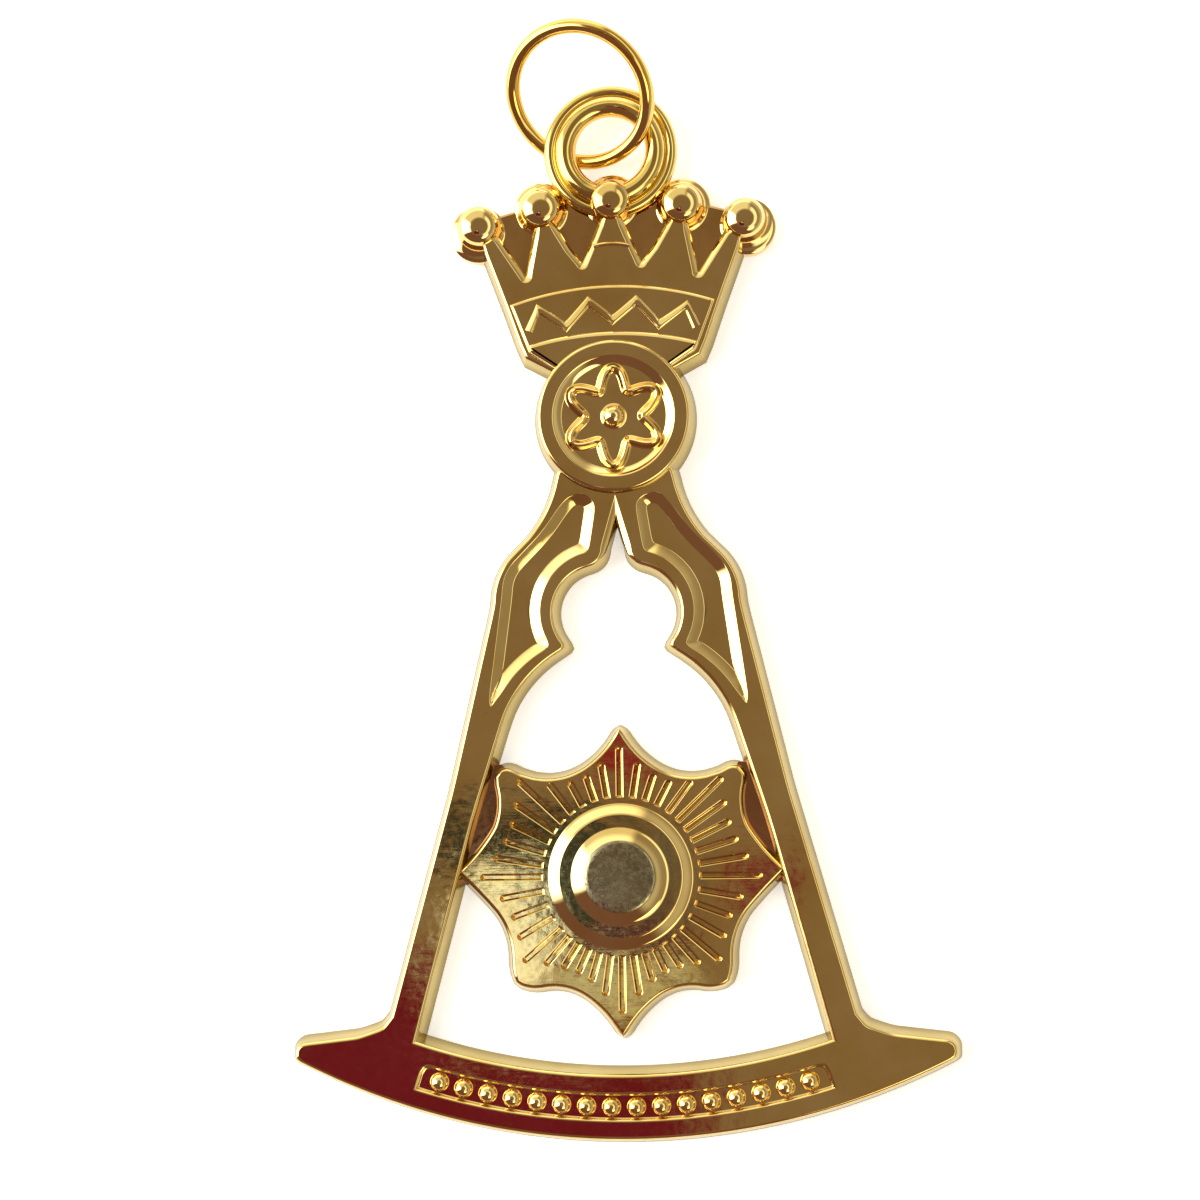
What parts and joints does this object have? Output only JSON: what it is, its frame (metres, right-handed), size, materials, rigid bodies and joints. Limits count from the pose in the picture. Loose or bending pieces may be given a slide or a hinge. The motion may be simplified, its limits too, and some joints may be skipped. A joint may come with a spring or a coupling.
{
  "type": "masonic collar jewel",
  "caption": "Flat cast gilt jewel: a crown over a hinge disc, open compass legs on a beaded arc, a sun between the legs, and a loose jump ring in a loop.",
  "frame": {"origin": "middle of the sun's boss, on the flat back of the casting", "axes": "+Y from the sun towards the crown and the loop, +Z out of the relief face, +X to the right as the face is looked at"},
  "size_m": [0.0538, 0.0901, 0.0079],
  "materials": {
    "gilt_casting": "polished gilt plating over a die casting, with a little wear",
    "gilt_wire": "polished gilt round wire"
  },
  "bodies": {
    "root": {"jewel_casting": "gilt_casting", "jump_ring": "gilt_wire"}
  },
  "joints": []
}
